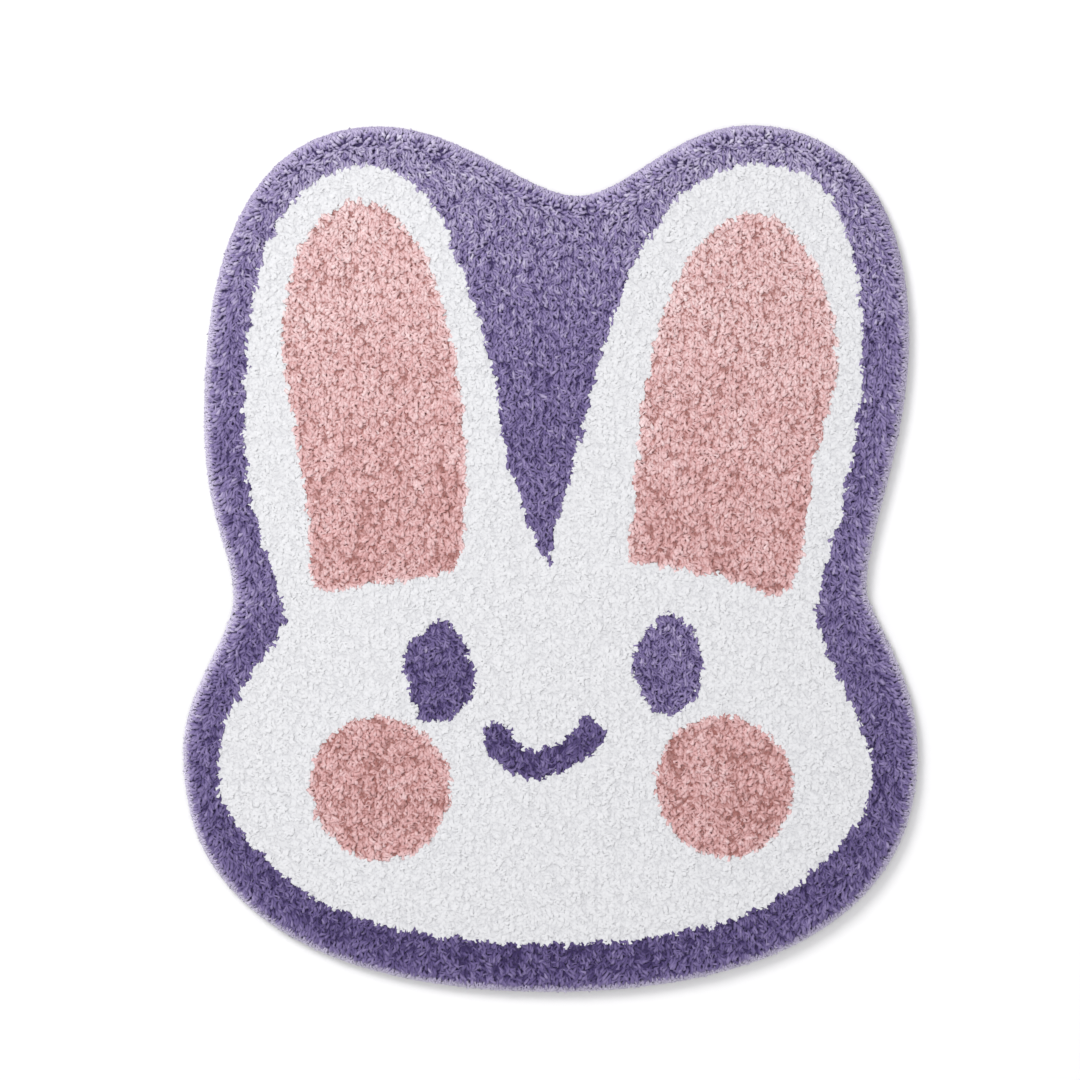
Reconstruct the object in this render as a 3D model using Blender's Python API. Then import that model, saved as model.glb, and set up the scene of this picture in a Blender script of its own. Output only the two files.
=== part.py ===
"""Kids rug in the shape of a rabbit's head: one tufted piece of thick cut pile, cut out round the ears
and cheeks, flat underneath and rounded over along the top of its cut edge.

Metres, +Z up. The rug lies on the plane z = 0 with its ears towards +Y. The origin is on the
underside, at the middle of the outline's box.
"""

import math

import bmesh
import bpy

MM = 0.001

WIDTH = 0.600  # cheek to cheek, along X
LENGTH = 0.708  # chin to the tips of the ears, along Y
THICKNESS = 0.018  # backing and standing pile together
SHOULDER = 0.007  # how far in the pile starts to round over at the cut edge
SHOULDER_STEPS = 3  # facets of that rounding
CURVE_STEPS = 14  # facets of each stretch of the outline

# The outline, anticlockwise from the chin, in mm on a 600 by 708 drawing. It is drawn by its extremes:
# the heading is the way the cut runs at that point, in degrees from +X, and the two reaches are
# how far the curve holds that heading before and after it.
OUTLINE = [
    # x, y, heading, reach before, reach after
    (0, -354, 0, 85, 85),  # chin
    (236, -293, 38, 75, 52),  # right jowl
    (300, -156, 90, 64, 62),  # right cheek
    (258, -24, 90, 22, 48),  # nip between the right cheek and ear
    (293, 182, 90, 90, 105),  # outer side of the right ear
    (163, 354, 180, 84, 62),  # tip of the right ear
    (22, 296, 180, 40, 40),  # dip between the ears
    (-140, 353, 180, 68, 90),  # tip of the left ear
    (-283, 118, 270, 160, 92),  # outer side of the left ear
    (-259, -32, 270, 42, 32),  # nip between the left ear and cheek
    (-300, -156, 270, 50, 68),  # left cheek
    (-236, -293, 322, 52, 75),  # left jowl
]
DRAWN_WIDTH = 600 * MM
DRAWN_LENGTH = 708 * MM


def clear_scene():
    """Removes whatever the open file holds."""
    for obj in list(bpy.data.objects):
        bpy.data.objects.remove(obj, do_unlink=True)


def outline_curve():
    """The cut outline as a closed flat curve, filled and extruded to the rug's thickness."""
    curve = bpy.data.curves.new("rug_outline", "CURVE")
    curve.dimensions = "2D"
    curve.fill_mode = "BOTH"
    curve.extrude = THICKNESS / 2
    curve.resolution_u = CURVE_STEPS
    spline = curve.splines.new("BEZIER")
    spline.bezier_points.add(len(OUTLINE) - 1)
    spline.use_cyclic_u = True
    across = MM * WIDTH / DRAWN_WIDTH
    along = MM * LENGTH / DRAWN_LENGTH
    for point, (x, y, heading, before, after) in zip(spline.bezier_points, OUTLINE):
        run_x = math.cos(math.radians(heading))
        run_y = math.sin(math.radians(heading))
        point.handle_left_type = "FREE"
        point.handle_right_type = "FREE"
        point.co = (x * across, y * along, 0)
        point.handle_left = ((x - before * run_x) * across, (y - before * run_y) * along, 0)
        point.handle_right = ((x + after * run_x) * across, (y + after * run_y) * along, 0)
    return bpy.data.objects.new("rug_outline", curve)


def pile_material():
    """Dyed polyester cut pile: matt, with the violet of the rug's ground."""
    material = bpy.data.materials.new("violet_cut_pile")
    material.use_nodes = True
    shader = material.node_tree.nodes["Principled BSDF"]
    shader.inputs["Base Color"].default_value = (0.20, 0.15, 0.38, 1)
    shader.inputs["Roughness"].default_value = 0.9
    shader.inputs["Metallic"].default_value = 0.0
    return material


def build_rug(collection):
    """Turns the extruded outline into one closed solid and rounds the top of its edge."""
    outline = outline_curve()
    collection.objects.link(outline)
    bpy.context.view_layer.update()
    evaluated = outline.evaluated_get(bpy.context.evaluated_depsgraph_get())
    mesh = bpy.data.meshes.new_from_object(evaluated)
    bpy.data.objects.remove(outline, do_unlink=True)

    solid = bmesh.new()
    solid.from_mesh(mesh)
    bmesh.ops.remove_doubles(solid, verts=solid.verts, dist=0.01 * MM)
    bmesh.ops.translate(solid, verts=solid.verts, vec=(0, 0, THICKNESS / 2))
    bmesh.ops.recalc_face_normals(solid, faces=solid.faces)
    for level in (0, THICKNESS):
        cap = [f for f in solid.faces if all(abs(v.co.z - level) < 0.01 * MM for v in f.verts)]
        bmesh.ops.dissolve_faces(solid, faces=cap)
    rim = [e for e in solid.edges if all(v.co.z > THICKNESS - 0.01 * MM for v in e.verts)]
    bmesh.ops.bevel(
        solid,
        geom=rim,
        offset=SHOULDER,
        offset_type="OFFSET",
        segments=SHOULDER_STEPS,
        profile=0.5,
        affect="EDGES",
        material=-1,
    )
    bmesh.ops.triangulate(solid, faces=[f for f in solid.faces if len(f.verts) > 4])
    bmesh.ops.recalc_face_normals(solid, faces=solid.faces)
    solid.to_mesh(mesh)
    solid.free()

    mesh.name = "rug"
    mesh.materials.clear()
    mesh.materials.append(pile_material())
    mesh.shade_smooth()
    mesh.set_sharp_from_angle(angle=math.radians(50))
    rug = bpy.data.objects.new("rug", mesh)
    collection.objects.link(rug)
    return rug


clear_scene()
rabbit_rug = bpy.data.collections.new("rabbit_rug")
bpy.context.scene.collection.children.link(rabbit_rug)
build_rug(rabbit_rug)
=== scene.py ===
import math

import bmesh
import bpy
import numpy as np
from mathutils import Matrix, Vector, kdtree, noise


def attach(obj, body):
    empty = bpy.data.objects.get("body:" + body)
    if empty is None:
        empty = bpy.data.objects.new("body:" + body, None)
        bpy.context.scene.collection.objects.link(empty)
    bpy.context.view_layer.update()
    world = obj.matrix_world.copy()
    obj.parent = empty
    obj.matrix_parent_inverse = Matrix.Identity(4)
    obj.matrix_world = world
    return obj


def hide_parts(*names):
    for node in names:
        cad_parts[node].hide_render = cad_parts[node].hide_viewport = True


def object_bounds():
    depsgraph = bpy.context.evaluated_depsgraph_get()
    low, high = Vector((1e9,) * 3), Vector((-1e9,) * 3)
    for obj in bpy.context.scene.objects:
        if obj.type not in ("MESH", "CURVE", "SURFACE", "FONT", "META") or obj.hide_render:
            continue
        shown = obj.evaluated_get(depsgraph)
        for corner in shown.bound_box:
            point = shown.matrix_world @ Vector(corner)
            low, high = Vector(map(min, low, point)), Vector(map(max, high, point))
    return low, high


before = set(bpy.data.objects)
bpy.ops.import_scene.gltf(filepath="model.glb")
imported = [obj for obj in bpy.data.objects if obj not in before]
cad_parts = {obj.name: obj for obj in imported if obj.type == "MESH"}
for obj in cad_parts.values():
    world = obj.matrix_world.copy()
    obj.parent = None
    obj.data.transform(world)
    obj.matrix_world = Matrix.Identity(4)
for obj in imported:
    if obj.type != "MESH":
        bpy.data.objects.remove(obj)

cad_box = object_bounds()
MM = 0.001


# The backing: one piece of heavy woven polyester cloth that the yarn is tufted through, with a thin
# coat of clear latex on its underside that locks the tufts and keeps the rug from sliding. It is cut
# a little inside the pile, which spreads over its edge, so only its underside and its rim are seen.
BACKING_THICKNESS = 2.6 * MM
OVERHANG = 3.5 * MM  # how far the pile stands out past the cut of the cloth
BACKING_WEAVE = 1.6 * MM  # from one thread to the next
THREAD_RELIEF = 0.3 * MM  # how far a thread stands out
SAME_POINT = 0.01 * MM  # corners nearer than this are one corner
UNDERSIDE = 0.1 * MM  # corners lower than this are on the flat underside


def linear(colour):
    """An sRGB hex colour as linear red, green, blue and alpha."""
    parts = [int(colour[i : i + 2], 16) / 255 for i in (1, 3, 5)]
    return [p / 12.92 if p <= 0.04045 else ((p + 0.055) / 1.055) ** 2.4 for p in parts] + [1.0]


def add_node(material, kind, settings=None, **inputs):
    """Adds a node with its settings; an input is a value or another node's output."""
    node = material.node_tree.nodes.new(kind)
    for key, value in (settings or {}).items():
        setattr(node, key, value)
    for key, value in inputs.items():
        numbered = key[0] == "i" and key[1:].isdigit()
        socket = node.inputs[int(key[1:]) if numbered else key.replace("_", " ")]
        if isinstance(value, bpy.types.NodeSocket):
            material.node_tree.links.new(value, socket)
        else:
            socket.default_value = value
    return node


def new_material(name):
    """A material of this name, and its shader."""
    material = bpy.data.materials.new(name)
    material.use_nodes = True
    return material, material.node_tree.nodes["Principled BSDF"]


def outline_of(node):
    """The node's flat underside as a bmesh of one face."""
    flat = bmesh.new()
    flat.from_mesh(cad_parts[node].data)
    bmesh.ops.remove_doubles(flat, verts=flat.verts, dist=SAME_POINT)
    bmesh.ops.delete(flat, geom=[v for v in flat.verts if v.co.z > UNDERSIDE], context="VERTS")
    bmesh.ops.dissolve_faces(flat, faces=flat.faces[:])
    flat.faces.ensure_lookup_table()
    return flat


def cut_back(flat, inset):
    """Takes a strip this wide off all round the bmesh's one face."""
    bmesh.ops.inset_region(flat, faces=flat.faces[:], thickness=inset, use_boundary=True,
                           use_even_offset=True)
    bmesh.ops.delete(flat, geom=[f for f in flat.faces if len(f.verts) == 4], context="FACES")
    flat.faces.ensure_lookup_table()


cut = outline_of("rug")
edge_loop = np.array([loop.vert.co.xy for loop in cut.faces[0].loops])
if cut.faces[0].normal.z < 0:
    edge_loop = edge_loop[::-1]
cut_back(cut, OVERHANG)
cut_area = cut.faces[0].calc_area()
raised = bmesh.ops.extrude_face_region(cut, geom=cut.faces[:])["geom"]
bmesh.ops.translate(cut, verts=[part for part in raised if isinstance(part, bmesh.types.BMVert)],
                    vec=(0, 0, BACKING_THICKNESS))
bmesh.ops.recalc_face_normals(cut, faces=cut.faces[:])
bmesh.ops.triangulate(cut, faces=[f for f in cut.faces if len(f.verts) > 4])

# Off-white threads in a plain weave, which show as a fine half-dull grid through the clear latex.
backing_cloth, shader = new_material("latex_coated_backing_cloth")
place = add_node(backing_cloth, "ShaderNodeTexCoord").outputs["Object"]
warp, weft = (
    add_node(backing_cloth, "ShaderNodeTexWave", {"bands_direction": way}, Vector=place,
             Scale=math.pi / (10 * BACKING_WEAVE), Distortion=0.4).outputs["Fac"]
    for way in ("X", "Y")
)
weave = add_node(backing_cloth, "ShaderNodeMath", {"operation": "MULTIPLY"}, i0=warp, i1=weft)
cloth_tone = add_node(backing_cloth, "ShaderNodeMix", {"data_type": "RGBA"}, i0=weave.outputs[0],
                      i6=linear("#b9b3a9"), i7=linear("#dcd8d0"))
backing_cloth.node_tree.links.new(cloth_tone.outputs[2], shader.inputs["Base Color"])
shader.inputs["Roughness"].default_value = 0.7
relief = add_node(backing_cloth, "ShaderNodeBump", Height=weave.outputs[0], Strength=0.6,
                  Distance=THREAD_RELIEF)
backing_cloth.node_tree.links.new(relief.outputs[0], shader.inputs["Normal"])

backing_mesh = bpy.data.meshes.new("backing")
cut.to_mesh(backing_mesh)
cut.free()
backing_mesh.materials.append(backing_cloth)
backing = bpy.data.objects.new("backing", backing_mesh)
bpy.context.scene.collection.objects.link(backing)
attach(backing, "root")
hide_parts("rug")


# The drawing that the tufter follows: a rabbit's head with two ears, its inner ears, cheeks, eyes and
# smile. Each area is one closed line through its extremes, in mm from the middle of the rug: x, y,
# heading in degrees, and how far the line keeps that heading before the point and after it.
WHITE_RABBIT = [
    (5, -314, 0, 75, 75), (209, -258, 45, 60, 40), (262, -178, 90, 35, 40), (215, -42, 96, 30, 8),
    (254, 178, 92, 90, 90), (170, 321, 180, 62, 80), (32, 128, 258, 92, 60), (0, -8, 270, 40, 5),
    (-42, 118, 96, 60, 66), (-142, 320, 180, 53, 74), (-250, 108, 270, 146, 75),
    (-214, -50, 282, 30, 8), (-271, -168, 270, 55, 45), (-212, -262, 318, 40, 60),
]
RIGHT_INNER_EAR = [
    (67, -2, 350, 8, 12), (150, -18, 345, 20, 14), (187, -30, 20, 10, 12), (212, 60, 85, 60, 40),
    (234, 165, 92, 40, 50), (166, 280, 180, 40, 40), (84, 172, 258, 60, 50), (69, 60, 268, 40, 30),
]
LEFT_INNER_EAR = [
    (-186, -26, 0, 10, 20), (-84, -12, 10, 30, 8), (-71, 20, 85, 10, 40), (-76, 150, 98, 50, 66),
    (-157, 291, 180, 47, 34), (-217, 190, 268, 55, 50), (-200, 50, 277, 50, 40),
]
LEFT_EYE = [
    (-90, -134, 0, 20, 14), (-61, -96, 95, 14, 12), (-88, -51, 180, 11, 13), (-120, -86, 268, 16, 7),
    (-115, -104, 278, 6, 8),
]
RIGHT_EYE = [
    (97, -130, 0, 12, 14), (124, -84, 92, 20, 16), (97, -45, 180, 14, 12), (67, -88, 270, 18, 18),
]
LEFT_CHEEK = [
    (-138, -246, 0, 32, 30), (-81, -186, 90, 32, 30), (-140, -129, 180, 32, 30), (-196, -184, 270, 30, 34),
]
RIGHT_CHEEK = [
    (146, -244, 0, 32, 30), (198, -186, 90, 32, 30), (138, -128, 180, 32, 30), (85, -184, 270, 32, 32),
]
SMILE = [
    (-13, -180, 0, 20, 12), (45, -144, 90, 14, 8), (31, -131, 180, 8, 8), (-13, -156, 180, 22, 14),
    (-43, -133, 180, 9, 8), (-54, -148, 270, 8, 10),
]
CURVE_STEPS = 12


def drawn(rows):
    """The closed curve through the rows' points, as points in metres."""
    line = []
    steps = np.linspace(0, 1, CURVE_STEPS, endpoint=False)[:, None]
    for (x, y, heading, _, reach), (x2, y2, heading2, reach2, _) in zip(rows, rows[1:] + rows[:1]):
        start, end = np.array([x, y]), np.array([x2, y2])
        run = np.array([math.cos(math.radians(heading)), math.sin(math.radians(heading))])
        run2 = np.array([math.cos(math.radians(heading2)), math.sin(math.radians(heading2))])
        a, b = start + reach * run, end - reach2 * run2
        line.append((1 - steps) ** 3 * start + 3 * (1 - steps) ** 2 * steps * a
                    + 3 * (1 - steps) * steps**2 * b + steps**3 * end)
    return np.vstack(line) * MM


def inside(points, loop):
    """Which points lie inside the loop."""
    found = np.zeros(len(points), bool)
    for (x1, y1), (x2, y2) in zip(loop, np.roll(loop, -1, axis=0)):
        spans = (y1 > points[:, 1]) != (y2 > points[:, 1])
        if y1 != y2:
            found ^= spans & (points[:, 0] < (x2 - x1) * (points[:, 1] - y1) / (y2 - y1) + x1)
    return found


def edge_distance(points, loop):
    """Each point's distance to the loop, and the direction from the point to the nearest place on it."""
    best = np.full(len(points), np.inf)
    towards = np.zeros((len(points), 2))
    for a, b in zip(loop, np.roll(loop, -1, axis=0)):
        along = b - a
        t = ((points - a) @ along / (along @ along)).clip(0, 1)
        gap = a + t[:, None] * along - points
        size = np.hypot(*gap.T)
        nearer = size < best
        best[nearer] = size[nearer]
        towards[nearer] = gap[nearer] / np.maximum(size[nearer, None], 1e-9)
    return best, towards


# The pile: soft polyester yarn pushed through the backing and cut to one length. It stands so close
# that below its tips it is one rounded mass; the last few millimetres of each strand lean and curl
# over that mass, gathered in small locks, and round the edge they are combed out over the cloth's cut.
PILE_TOP = cad_box[1].z - 0.7 * MM
SHOULDER = 10 * MM  # how far in from the edge the pile reaches its full height
FOOT = 1.4 * MM  # how far above the floor the lowest tips end
WAVER = 1.6 * MM  # how far the tufter's hand strays from the drawing
WAVER_LENGTH = 9 * MM  # and how long each such stray is
VIOLET, WHITE, PINK = range(3)
PARTING = np.array([2.0, 0.75, 1.5]) * MM  # how deep the strands of each colour part
random = np.random.default_rng(7)


def field(points, size, seed, stretch=1.0):
    """Smooth noise from about -1 to 1, with bumps of this size, longer along Y by stretch."""
    return np.array([noise.noise(Vector((x / size, y / (size * stretch), seed))) for x, y in points]) * 2


def colour_at(points):
    """Which colour of yarn is tufted at each point."""
    strayed = points + np.stack([field(points, WAVER_LENGTH, seed) for seed in (11.3, 27.9)], 1) * WAVER
    found = np.full(len(points), VIOLET)
    for colour, loops in (
        (WHITE, [WHITE_RABBIT]),
        (PINK, [LEFT_INNER_EAR, RIGHT_INNER_EAR, LEFT_CHEEK, RIGHT_CHEEK]),
        (VIOLET, [LEFT_EYE, RIGHT_EYE, SMILE]),
    ):
        for loop in loops:
            found[inside(strayed, drawn(loop))] = colour
    return found


# The profile of the tips: up the rounded edge, then level. It is kept by the distance along it.
climb = np.linspace(0, math.pi / 2, 40)
profile_inset = np.append(SHOULDER * (1 - np.cos(climb)), 1.0)
profile_height = np.append(FOOT + (PILE_TOP - FOOT) * np.sin(climb), PILE_TOP)
profile_along = np.append(0, np.cumsum(np.hypot(np.diff(profile_inset), np.diff(profile_height))))

# The mass is a sheet of square cells, with closer rows where it rounds down round the edge.
MASS_EDGE = 3.5 * MM
MASS_CELL = 3.0 * MM
EDGE_ROWS = (0.3 * MM, 0.8 * MM, 1.5 * MM, 2.5 * MM)
SNAP = 0.02 * MM  # a cut this near a corner goes through it


def mass_height(inset, area):
    """How high the mass of the pile is, this far in from the edge."""
    reach = ((inset - MASS_EDGE) / SHOULDER).clip(0, 1)
    return BACKING_THICKNESS + (PILE_TOP - PARTING[area] - BACKING_THICKNESS) * (1 - (1 - reach) ** 4) ** 0.25


def many_sided(shape):
    """The faces with more than four corners: at first only the wide middle one."""
    return [f for f in shape.faces if len(f.verts) > 4]


low, high = edge_loop.min(0), edge_loop.max(0)
mass = outline_of("rug")
cut_back(mass, MASS_EDGE)
for width in EDGE_ROWS:
    bmesh.ops.inset_region(mass, faces=many_sided(mass), thickness=width, use_boundary=True,
                           use_even_offset=True)
crown = many_sided(mass)
geometry = crown + list({e for f in crown for e in f.edges}) + list({v for f in crown for v in f.verts})
for axis in (0, 1):
    across = Vector((axis == 0, axis == 1, 0))
    for at in np.arange(low[axis] + MASS_CELL, high[axis], MASS_CELL):
        cells = bmesh.ops.bisect_plane(mass, geom=geometry, plane_co=across * at, plane_no=across, dist=SNAP)
        geometry = cells["geom"]
bmesh.ops.triangulate(mass, faces=many_sided(mass))
if sum(f.normal.z for f in mass.faces) < 0:
    bmesh.ops.reverse_faces(mass, faces=mass.faces[:])
mass.verts.index_update()
mass_points = np.array([v.co for v in mass.verts])
mass_faces = [[v.index for v in f.verts] for f in mass.faces]
mass_middles = np.array([f.calc_center_median().xy for f in mass.faces])
mass.free()
mass_edge, _ = edge_distance(mass_points[:, :2], edge_loop)
mass_points[:, 2] = mass_height(mass_edge, colour_at(mass_points[:, :2]))
mass_area = colour_at(mass_middles)

# The strands inside the rug stand in close offset rows, and fall into locks.
ROW_PITCH = 2.25 * MM
STITCH_PITCH = 2.85 * MM
LOCK = 5.0 * MM  # from one lock of strands to the next, across the rug
LOCK_STRETCH = 1.4  # and how much more it is along the rug
ROOT_STRAY, LOCK_STRAY = 0.2, 0.22  # as shares of the pitch
RIM_BAND = 8.5 * MM  # the rows combed over the edge take this much
STRAND = [
    ("root", float, 2), ("lean", float, 2), ("foot", float), ("tip", float), ("curl", float),
    ("arch", float), ("radius", float), ("ridge", float), ("turn", float), ("tone", float),
    ("pale", float), ("side", float), ("area", int),
]


def in_rows(across, along, stray):
    """Points in offset rows over the whole rug, each strayed by about this share of the pitch."""
    x, y = np.meshgrid(np.arange(low[0], high[0], across), np.arange(low[1], high[1], along), indexing="ij")
    y = y + along * 0.5 * (np.arange(len(x)) % 2)[:, None]
    points = np.stack([x.ravel(), y.ravel()], 1)
    points += random.normal(0, stray, points.shape) * (across, along)
    return points[inside(points, edge_loop)]


locks = in_rows(LOCK, LOCK * LOCK_STRETCH, LOCK_STRAY)
tree = kdtree.KDTree(len(locks))
for i, (x, y) in enumerate(locks):
    tree.insert((x, y / LOCK_STRETCH, 0), i)
tree.balance()

roots = in_rows(ROW_PITCH, STITCH_PITCH, ROOT_STRAY)
to_edge, outward = edge_distance(roots, edge_loop)
kept = to_edge > RIM_BAND
roots, to_edge, outward = roots[kept], to_edge[kept], outward[kept]
count = len(roots)
lock_of = np.array([tree.find((x, y / LOCK_STRETCH, 0))[1] for x, y in roots])
centre = locks[lock_of]
off = roots - centre
away = np.hypot(off[:, 0], off[:, 1] / LOCK_STRETCH) / (LOCK / 2)  # 0 in the lock's middle, 1 at its edge
lock_tone = random.normal(size=len(locks))[lock_of]

# A lock keeps mostly to one colour, so a join between two colours comes out toothed.
LOCK_KEEPS = 0.85
JOIN_STRAY = 0.8 * MM
BLEND = 3.0 * MM  # how far off a join still shows in a strand's tone
area = colour_at(centre + off * LOCK_KEEPS + random.normal(0, JOIN_STRAY, off.shape))
blend_steps = [(BLEND, 0), (-BLEND, 0), (0, BLEND), (0, -BLEND)]
others = np.mean([colour_at(roots + step) != area for step in blend_steps], axis=0)

# Long creases, where the pile parts wider.
CREASE_SPACING = 12 * MM
CREASE_STRETCH = 1.8
CREASE_WIDTH = 0.16  # as a share of the noise that they follow
crease = np.exp(-((field(roots, CREASE_SPACING, 63.2, CREASE_STRETCH) / CREASE_WIDTH) ** 2))

# The nap runs down the rug, and near the edge it turns to run out over it.
NAP, NAP_RANGE = 5.2 * MM, (0.7, 1.3)  # how far a strand leans, and its range as a share of that
NAP_SWAY, SWAY_LENGTH = 0.6, 12 * MM  # how far the nap's way sways, in radians, and how long each sway is
STRAND_SWAY = 0.4  # radians from one strand to the next
NAP_OVER_EDGE = 6 * MM
TURNS_WITHIN = 14 * MM
EDGEWAYS = 0.5  # how much of the turning nap runs along the edge
near = (1 - (to_edge - RIM_BAND) / TURNS_WITHIN).clip(0, 1)
nap_way = -math.pi / 2 + NAP_SWAY * field(roots, SWAY_LENGTH, 41.7) + random.normal(0, STRAND_SWAY, count)
nap_length = NAP * random.uniform(*NAP_RANGE, count)
lean = np.stack([np.cos(nap_way), np.sin(nap_way)], 1) * nap_length[:, None]
edgeways = np.stack([-outward[:, 1], outward[:, 0]], 1)
edgeways *= np.where((edgeways * lean).sum(1) > 0, 1, -1)[:, None]
turning = (near * (1 - near) * 4)[:, None]
over_edge = (outward * near[:, None] + edgeways * EDGEWAYS * turning) * NAP_OVER_EDGE
lean = lean * (1 - near[:, None]) + over_edge

# A lock draws its strands together, and a strand lies half before its root and half behind it.
GATHER = np.array([0.14, 0.1, 0.14])  # for violet, white and pink, as every such row of three
middle = centre + off * (1 - GATHER[area] * (1 - near))[:, None]
roots = middle - lean * 0.5 * (1 - near[:, None])
to_edge, outward = edge_distance(roots, edge_loop)
out = (lean * outward).sum(1)
tangent = lean - outward * out[:, None]
tip_along = np.interp(to_edge, profile_inset, profile_along) - out
tip_inset = np.interp(tip_along, profile_along, profile_inset)

# Each strand arches over its crest and curls down to its tip. A lock's outer strands and those in a
# crease are lower. The white yarn is packed the tightest, so it is the most level and the most even.
LOOSE = np.array([1.0, 0.6, 1.0])  # how uneven the tips are
STRAND_STEP, LOCK_STEP = 0.2 * MM, 0.25 * MM  # from one strand or lock to the next
LOCK_CROWN, CREASE_DEPTH = 0.8 * MM, 1.0 * MM
HEADROOM = 0.25 * MM  # kept under the rug's full thickness
BURIED = np.array([0.4, 0.05, 0.3]) * MM  # how deep in the mass a strand starts
TIP_DROP = np.array([1.6, 0.4, 1.2]) * MM
CURL = 1.0 * MM
TWIST = 0.25  # radians
STRAND_RADIUS = np.array([1.4, 1.5, 1.5]) * MM
RADIUS_RANGE = (0.85, 1.15)  # as a share of that
RIDGE = np.array([1.1, 0.2, 0.73])  # how high a strand's ridge is, as a share of its radius
SIDE_SHADE = np.array([0.42, 0.12, 0.28])  # how much painted shade deepens a strand's sides
inner = np.zeros(count, STRAND)
inner["root"] = roots
inner["lean"] = tangent + outward * (to_edge - tip_inset)[:, None]
inner["foot"] = mass_height(to_edge, area) - BURIED[area]
rough = random.normal(0, STRAND_STEP, count) + LOCK_STEP * lock_tone
rough = (rough - LOCK_CROWN * away**2 - CREASE_DEPTH * crease) * LOOSE[area]
crest = np.interp((to_edge + tip_inset) / 2, profile_inset, profile_height) + rough
crest = np.minimum(crest, cad_box[1].z - HEADROOM)
inner["tip"] = np.interp(tip_inset, profile_inset, profile_height) + rough - TIP_DROP[area] * (1 - 0.5 * near)
inner["curl"] = random.normal(0, CURL, count)
inner["arch"] = (4 * crest - inner["foot"] - inner["tip"]) / 2
inner["radius"] = STRAND_RADIUS[area] * random.uniform(*RADIUS_RANGE, count)
inner["ridge"] = RIDGE[area]
inner["turn"] = random.normal(0, TWIST, count)
# Painted shade on the strand's sides, less near the edge.
inner["side"] = SIDE_SHADE[area] * (1 - 0.4 * near)
inner["area"] = area

# Each strand's tone, from 0 at its deepest to 1 at its palest.
MIDDLE_TONE = 0.54
STRAND_TONE, LOCK_TONE = 0.08, 0.04  # from one strand or lock to the next
# Painted shade: a strand is darker at its lock's edge and in a crease, where the pile parts.
LOCK_EDGE_SHADE, CREASE_SHADE = -0.12, -0.08
EVEN = np.array([1.0, 0.25, 1.0])  # how much of this shows in each colour
JOIN_FADE = np.array([0, 0, 0.5])  # only the pink fades where it meets the next colour
BESIDE_EDGE_LIGHT = ([0.5, 0.75], [0.16, 0])  # painted light near the edge, by height: the ears' tips get none
uneven_and_shade = STRAND_TONE * random.normal(size=count) + LOCK_TONE * lock_tone + LOCK_EDGE_SHADE * away
inner["tone"] = MIDDLE_TONE + EVEN[area] * uneven_and_shade + CREASE_SHADE * crease + JOIN_FADE[area] * others
# Painted light: the level pile is paler near the edge.
inner["tone"] += near**2 * np.interp(roots[:, 1] / high[1], *BESIDE_EDGE_LIGHT)

# The rows combed over the edge, from the lowest outside to the last before the rows inside. Their tips are
# thinner, and painted paler as if light shone through them, the lowest the most.
RIM_SPACING = 1.8 * MM
RIM_TIPS = [0.3, 1.9, 3.7, 5.7, 7.9, 10.3]  # mm up the profile from its foot
RIM_STRAY = 0.7 * MM
RIM_LENGTH = (6.5 * MM, 8.5 * MM)
RIM_BURIED = 2.6 * MM
RIM_SWEEP, RIM_CURL = 0.9 * MM, 0.8 * MM
RIM_ARCH = ([0, 10], [2.2, 3.0])  # mm up the profile, and how far in mm a strand arches there
RIM_RADIUS = 1.1 * MM
RIM_RIDGE = 0.8
RIM_TONE, RIM_SIDE_SHADE = 0.5, 0.12
RIM_PAINTED_LIGHT = ([0, 4, 8, 12], [1.0, 0.95, 0.8, 0.5])  # mm up the profile, and how much painted light it has there
sides = np.roll(edge_loop, -1, axis=0) - edge_loop
side_lengths = np.hypot(*sides.T)
side_outward = np.stack([sides[:, 1], -sides[:, 0]], 1) / side_lengths[:, None]
corner_outward = side_outward + np.roll(side_outward, 1, axis=0)
corner_outward /= np.hypot(*corner_outward.T)[:, None]
distance_along = np.concatenate([[0], np.cumsum(side_lengths)])
round_trip = distance_along[-1]
closed_loop = np.vstack([edge_loop, edge_loop[:1]])
closed_outward = np.vstack([corner_outward, corner_outward[:1]])
rim = []
for k, tip_at in enumerate(RIM_TIPS):
    count = int(round_trip / RIM_SPACING)
    along = (np.arange(count) + 0.5 * (k % 2) + random.normal(0, 0.2, count)) * round_trip / count
    along %= round_trip
    place = np.stack([np.interp(along, distance_along, closed_loop[:, i]) for i in (0, 1)], 1)
    out = np.stack([np.interp(along, distance_along, closed_outward[:, i]) for i in (0, 1)], 1)
    tip_along = tip_at * MM + np.abs(random.normal(0, RIM_STRAY, count))
    root_along = tip_along + random.uniform(*RIM_LENGTH, count)
    tip_inset, root_inset = (np.interp(m, profile_along, profile_inset) for m in (tip_along, root_along))
    row = np.zeros(count, STRAND)
    row["root"] = place - out * root_inset[:, None]
    sweep = np.stack([-out[:, 1], out[:, 0]], 1) * random.normal(0, RIM_SWEEP, count)[:, None]
    row["lean"] = out * (root_inset - tip_inset)[:, None] + sweep
    row["foot"] = np.interp(root_inset, profile_inset, profile_height) - RIM_BURIED
    row["tip"] = np.interp(tip_along, profile_along, profile_height)
    row["curl"] = random.normal(0, RIM_CURL, count)
    row["arch"] = np.maximum(row["foot"], row["tip"]) + np.interp(tip_at, *RIM_ARCH) * MM
    row["radius"] = RIM_RADIUS * random.uniform(*RADIUS_RANGE, count)
    row["ridge"] = RIM_RIDGE
    row["turn"] = random.uniform(0, 2 * math.pi, count)
    row["tone"] = RIM_TONE + STRAND_TONE * random.normal(size=count)
    row["side"] = RIM_SIDE_SHADE
    row["pale"] = np.interp(tip_at, *RIM_PAINTED_LIGHT)
    row["area"] = VIOLET
    rim.append(row)
strands = np.concatenate([inner] + rim)
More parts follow.
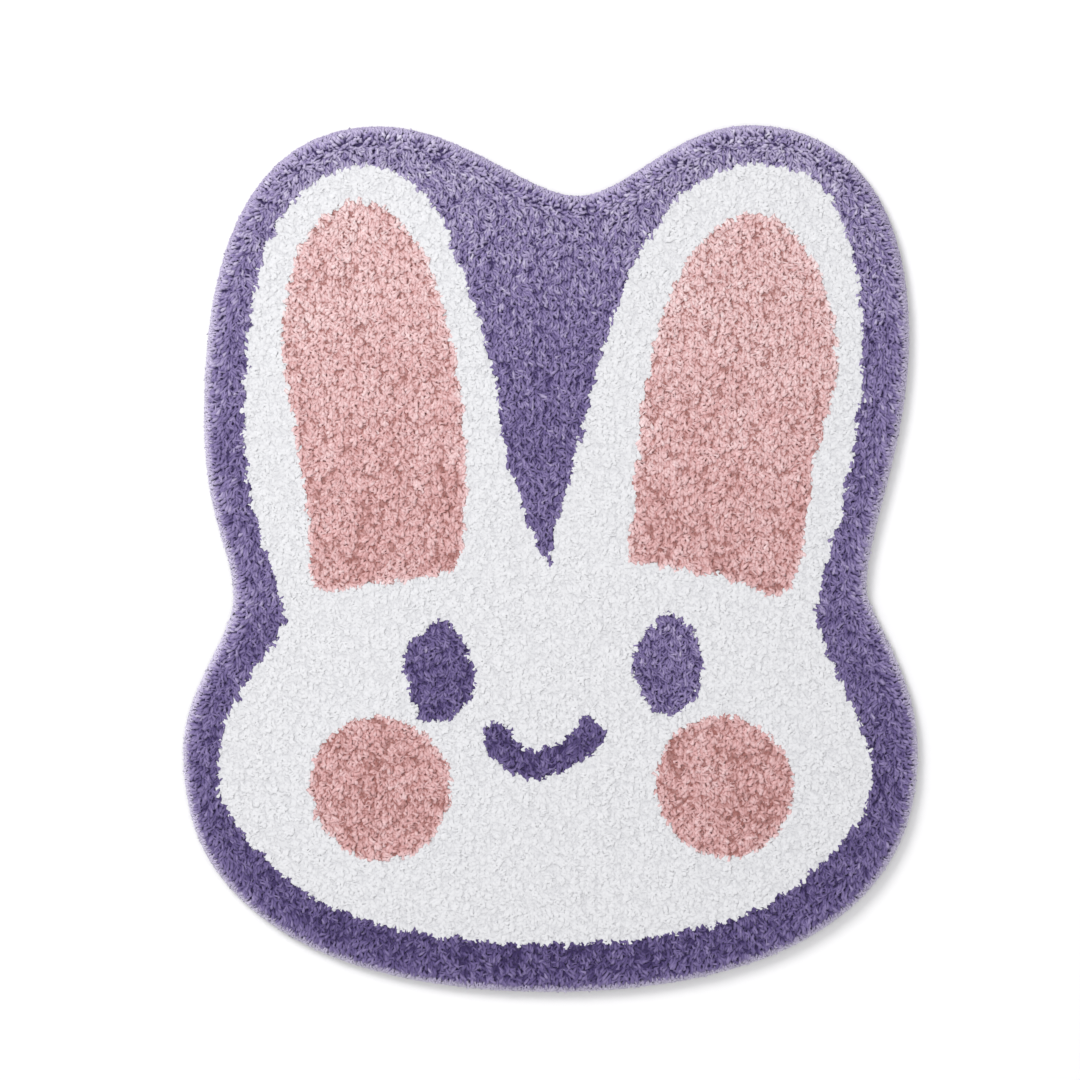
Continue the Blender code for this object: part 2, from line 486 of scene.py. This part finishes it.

# Tones over the whole rug. Painted light: the violet pile is painted lighter towards the ears' tips, where
# the light finds its nap, and the combed edge is painted paler all round, palest at the bottom. The pink pile
# is a little deeper towards the cheeks. Heights are shares of the rug's half length, up from its middle.
VIOLET_TONES = ([-1, -0.4, -0.1, 0.3, 0.5, 0.65, 0.95], [-0.26, -0.14, -0.04, -0.06, 0.0, 0.09, 0.24])
EDGE_LIGHT_TONES = ([-1, 0.5, 0.8], [0.99, 0.92, 0.7])
PINK_EVEN, PINK_RISE, PINK_LIMITS = 160 * MM, 1.2, (-0.16, 0.06)  # tone for each metre from this height
PINK_CLOUDS, CLOUD_TONE = 25 * MM, 0.08
FACE_INSET, FACE_TOP = 60 * MM, -40 * MM  # violet further in and lower is the eyes and the smile
RIGHT_EYE_SIDE = 50 * MM
# Painted light: the left of the face is painted darker and the right eye paler, as the nap there takes the
# light.
LEFT_FACE_NAP_SHADE, RIGHT_EYE_NAP_LIGHT = -0.08, 0.1
y = strands["root"][:, 1]
violet, pink = strands["area"] == VIOLET, strands["area"] == PINK
strands["tone"][violet] += np.interp(y[violet] / high[1], *VIOLET_TONES)
strands["tone"][pink] += (PINK_RISE * (y[pink] - PINK_EVEN)).clip(*PINK_LIMITS)
strands["tone"][pink] += CLOUD_TONE * field(strands["root"][pink], PINK_CLOUDS, 5.5)
deep_in = np.concatenate([to_edge, np.zeros(len(strands) - len(to_edge))])
face = violet & (deep_in > FACE_INSET) & (y < FACE_TOP)
on_left = strands["root"][face, 0] < RIGHT_EYE_SIDE
strands["tone"][face] += np.where(on_left, LEFT_FACE_NAP_SHADE, RIGHT_EYE_NAP_LIGHT)
# Painted light on the combed edge: its tone is drawn towards a pale one, palest at the bottom.
strands["tone"] += strands["pale"] * (np.interp(y / high[1], *EDGE_LIGHT_TONES) - strands["tone"])


def comb_strand():
    """One strand combed over the edge, a unit in radius and length: a tube with a closed tip."""
    ring = 0.34  # from one ring of corners to the next
    shape = bmesh.new()
    bmesh.ops.create_cone(shape, segments=3, radius1=1.0, radius2=1.0, depth=ring, cap_ends=True)
    bmesh.ops.translate(shape, verts=shape.verts, vec=(0, 0, ring / 2))
    bmesh.ops.delete(shape, geom=[f for f in shape.faces if f.normal.z < -0.5], context="FACES_ONLY")
    top = [f for f in shape.faces if f.normal.z > 0.5]
    bmesh.ops.inset_region(shape, faces=top, thickness=0, depth=0)
    bmesh.ops.translate(shape, verts=top[0].verts[:], vec=(0, 0, ring))
    peak = bmesh.ops.poke(shape, faces=top)
    bmesh.ops.translate(shape, verts=peak["verts"], vec=(0, 0, 1 - 2 * ring))
    return shape


def curl_strand():
    """One strand of the level pile, a unit in radius and length: a ridged blade with a closed tip."""
    rows = [0, 0.3, 0.62, 0.9, 1]
    shape = bmesh.new()
    bmesh.ops.create_grid(shape, x_segments=2, y_segments=len(rows) - 1, size=1.0)
    for v in shape.verts:
        v.co = (v.co.x, 1.0 - abs(v.co.x), np.interp(v.co.y, np.linspace(-1, 1, len(rows)), rows))
    bmesh.ops.pointmerge(shape, verts=[v for v in shape.verts if v.co.z > 0.99], merge_co=(0, 0, 1))
    return shape


def corners_and_faces(shape):
    """The bmesh's corners, and each face's corner numbers."""
    shape.verts.index_update()
    corners = np.array([v.co for v in shape.verts])
    faces = [[v.index for v in f.verts] for f in shape.faces]
    shape.free()
    return corners, faces


# A strand's corners are drawn a little towards its tip, where it curls the most. How much of its own tone
# shows through the painted shade goes by the share of its length up from its root: deepest at the root, a
# little at the tip.
TIPWARD = 0.25
UNSHADED_UP_STRAND = ([0, 0.4, 0.7, 1], [0.4, 0.9, 1.0, 0.9])
TONE_LIMITS = (0.03, 0.95)
MAP_STEP = 0.02  # spreads each face a little on the map, as a face of no width can't be read there


def placed(chosen, corners, faces):
    """The chosen strands as points, loops, face sizes and UV map: a strand's tone, and how far it stands out
    of its painted shade, which is deepest at the root and on its sides.
    """
    foot = np.column_stack([chosen["root"], chosen["foot"]])
    tip = np.column_stack([chosen["root"] + chosen["lean"], chosen["tip"]])
    bend = (foot + tip) / 2
    bend[:, 2] = chosen["arch"]
    aside = np.stack([-chosen["lean"][:, 1], chosen["lean"][:, 0]], 1)
    aside /= np.maximum(np.hypot(*aside.T), 1e-6)[:, None]
    foot, tip, bend = foot[:, None], tip[:, None], bend[:, None]
    s = (corners[:, 2] * (1 + TIPWARD - TIPWARD * corners[:, 2]))[None, :, None]
    path = (1 - s) ** 2 * foot + 2 * s * (1 - s) * bend + s**2 * tip
    path[..., :2] += aside[:, None] * chosen["curl"][:, None, None] * np.sin(2 * math.pi * s)
    run = 2 * (1 - s) * (bend - foot) + 2 * s * (tip - bend)
    run /= np.linalg.norm(run, axis=-1, keepdims=True)
    across = np.stack([-run[..., 1], run[..., 0], np.zeros(run.shape[:2])], -1)
    across /= np.maximum(np.linalg.norm(across, axis=-1, keepdims=True), 1e-9)
    above = np.cross(run, across)
    cos, sin = np.cos(chosen["turn"])[:, None], np.sin(chosen["turn"])[:, None]
    wide = (corners[:, 0] * cos - corners[:, 1] * sin) * chosen["radius"][:, None]
    tall = (corners[:, 0] * sin + corners[:, 1] * cos) * (chosen["radius"] * chosen["ridge"])[:, None]
    points = path + across * wide[..., None] + above * tall[..., None]
    flat = np.concatenate([np.array(f) for f in faces])
    loops = (np.arange(len(chosen))[:, None] * len(corners) + flat).ravel()
    sizes = np.tile([len(f) for f in faces], len(chosen))
    tone = chosen["tone"][:, None].clip(*TONE_LIMITS) + MAP_STEP * corners[flat, 0]
    # Painted shade: less of the tone shows down at the root and towards the sides.
    strand_out_of_shade = np.interp(corners[flat, 2], *UNSHADED_UP_STRAND)
    strand_out_of_shade = strand_out_of_shade - chosen["side"][:, None] * np.abs(corners[flat, 0])
    return points.reshape(-1, 3), loops, sizes, np.stack([tone, strand_out_of_shade], -1).reshape(-1, 2)


COMBED = corners_and_faces(comb_strand())
CURLED = corners_and_faces(curl_strand())


def pile_piece(name, chosen, cells, depth, material):
    """The chosen strands joined with the cells of the mass under them, which are painted this deep in the
    root shade.
    """
    used = [mass_faces[i] for i in np.flatnonzero(cells)]
    kept, loops = np.unique(np.concatenate([np.array(f) for f in used]), return_inverse=True)
    corner = np.concatenate([np.arange(len(f)) for f in used])
    mass_map = np.stack([0.5 + MAP_STEP * (corner % 4 > 1), depth + MAP_STEP * (corner % 3 > 0)], 1)
    batches = [(mass_points[kept], loops, np.array([len(f) for f in used]), mass_map)]
    combed = chosen["pale"] > 0
    batches.append(placed(chosen[~combed], *CURLED))
    if combed.any():
        batches.append(placed(chosen[combed], *COMBED))
    mesh = bpy.data.meshes.new(name)
    starts = np.cumsum([0] + [len(batch[0]) for batch in batches])
    points = np.vstack([batch[0] for batch in batches])
    loops = np.concatenate([batch[1] + start for batch, start in zip(batches, starts)])
    sizes = np.concatenate([batch[2] for batch in batches])
    mesh.vertices.add(len(points))
    mesh.vertices.foreach_set("co", points.astype(np.float32).ravel())
    mesh.loops.add(len(loops))
    mesh.loops.foreach_set("vertex_index", loops.astype(np.int32))
    mesh.polygons.add(len(sizes))
    mesh.polygons.foreach_set("loop_start", np.concatenate([[0], np.cumsum(sizes)[:-1]]).astype(np.int32))
    mesh.polygons.foreach_set("use_smooth", np.ones(len(sizes), bool))
    mesh.update(calc_edges=True)
    layer = mesh.uv_layers.new(name="OFBake")
    layer.uv.foreach_set("vector", np.vstack([batch[3] for batch in batches]).astype(np.float32).ravel())
    mesh.materials.append(material)
    piece = bpy.data.objects.new(name, mesh)
    bpy.context.scene.collection.objects.link(piece)
    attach(piece, "root")
    return piece


def yarn(name, root, shade, middle, light, palest_tone):
    """Dyed polyester pile yarn: dull, with a soft sheen, and painted shade that deepens it to the root colour
    down among the roots.
    """
    material, shader = new_material(name)
    uv = add_node(material, "ShaderNodeUVMap", {"uv_map": "OFBake"}).outputs[0]
    apart = add_node(material, "ShaderNodeSeparateXYZ", Vector=uv)
    tone = add_node(material, "ShaderNodeValToRGB", Fac=apart.outputs["X"])
    ramp = tone.color_ramp
    ramp.elements[0].position, ramp.elements[1].position = 0.02, 0.97
    ramp.elements[0].color, ramp.elements[1].color = linear(root), linear(palest_tone)
    for at, colour in ((0.2, shade), (0.5, middle), (0.78, light)):
        ramp.elements.new(at).color = linear(colour)
    # Painted shade: where the map's second number is low (down at a strand's root, on its sides and on the
    # mass below), the tone gives way to the deep root colour.
    depth = add_node(material, "ShaderNodeMapRange", Value=apart.outputs["Y"], From_Min=0.35, From_Max=0.85)
    mixed = add_node(material, "ShaderNodeMix", {"data_type": "RGBA"}, i0=depth.outputs[0], i6=linear(root),
                     i7=tone.outputs[0])
    material.node_tree.links.new(mixed.outputs[2], shader.inputs["Base Color"])
    shader.inputs["Roughness"].default_value = 0.9
    shader.inputs["Specular IOR Level"].default_value = 0.2
    shader.inputs["Sheen Weight"].default_value = 0.25
    shader.inputs["Sheen Roughness"].default_value = 0.5
    return material


violet_yarn = yarn("violet_polyester_pile", "#3d305e", "#6e6092", "#988ab8", "#c6bcda", "#e0daee")
white_yarn = yarn("white_polyester_pile", "#cdcdd1", "#dadadd", "#e4e4e7", "#ebebee", "#f0f0f2")
pink_yarn = yarn("pink_polyester_pile", "#9c655f", "#e0b0b0", "#efcbcc", "#f6dcdd", "#fbebec")

# Each colour is made in a left and a right piece, and the white ones are parted again below the ears.
EARS_END = -120 * MM
# Painted shade: the number after each colour says how deep in the root shade its mass is painted.
for yarn_area, colour, parts, depth, material in (
    (VIOLET, "violet", ("",), 0.37, violet_yarn),
    (WHITE, "white", ("ear_", "face_"), 0.68, white_yarn),
    (PINK, "pink", ("",), 0.43, pink_yarn),
):
    for part in parts:
        for is_left, side in ((True, "left"), (False, "right")):
            picks = []
            for where, areas in ((strands["root"], strands["area"]), (mass_middles, mass_area)):
                pick = (areas == yarn_area) & ((where[:, 0] < 0) == is_left)
                if part:
                    pick &= (where[:, 1] < EARS_END) == (part == "face_")
                picks.append(pick)
            pile_piece(f"{colour}_{part}{side}", strands[picks[0]], picks[1], depth, material)


# The floor, the lights and the camera, which aren't part of the rug: a wide matt white floor, soft
# daylight from all round, and one square softbox above the top left corner.
FLOOR_WIDTH = 60
DAYLIGHT = 0.75
KEY_PLACE = Vector((-1.3, 1.45, 2.3))
KEY_SIZE = 1.0
KEY_WATTS = 46

bpy.ops.mesh.primitive_plane_add(size=FLOOR_WIDTH, location=(0, 0, 0))
floor = bpy.context.object
floor.name = "floor"
floor_paint, shader = new_material("matt_white_floor")
shader.inputs["Base Color"].default_value = linear("#ffffff")
shader.inputs["Roughness"].default_value = 0.9
floor.data.materials.append(floor_paint)

world = bpy.data.worlds.new("studio")
bpy.context.scene.world = world
world.use_nodes = True
world.node_tree.nodes["Background"].inputs["Color"].default_value = linear("#ffffff")
world.node_tree.nodes["Background"].inputs["Strength"].default_value = DAYLIGHT

key_light = bpy.data.lights.new("key_softbox", "AREA")
key_light.shape = "SQUARE"
key_light.size = KEY_SIZE
key_light.energy = KEY_WATTS
key_lamp = bpy.data.objects.new("key_softbox", key_light)
bpy.context.scene.collection.objects.link(key_lamp)
key_lamp.location = KEY_PLACE
key_lamp.rotation_euler = (-KEY_PLACE).to_track_quat("-Z", "Y").to_euler()

# The camera looks straight down on the rug, from far enough that it shows hardly any of its sides.
LENS = 100
SENSOR_WIDTH = 36
FRAME_MIDDLE = (-8.6 * MM, 15.1 * MM)
FRAME_WIDTH = 1.469 * (high[0] - low[0])
FRAME_HEIGHT = PILE_TOP - 8 * MM  # where the frame is this wide
camera_data = bpy.data.cameras.new("camera")
camera_data.lens = LENS
camera_data.sensor_width = SENSOR_WIDTH
camera = bpy.data.objects.new("camera", camera_data)
bpy.context.scene.collection.objects.link(camera)
camera.location = (*FRAME_MIDDLE, FRAME_HEIGHT + FRAME_WIDTH * LENS / SENSOR_WIDTH)
bpy.context.scene.camera = camera
bpy.context.scene.view_settings.view_transform = "Standard"
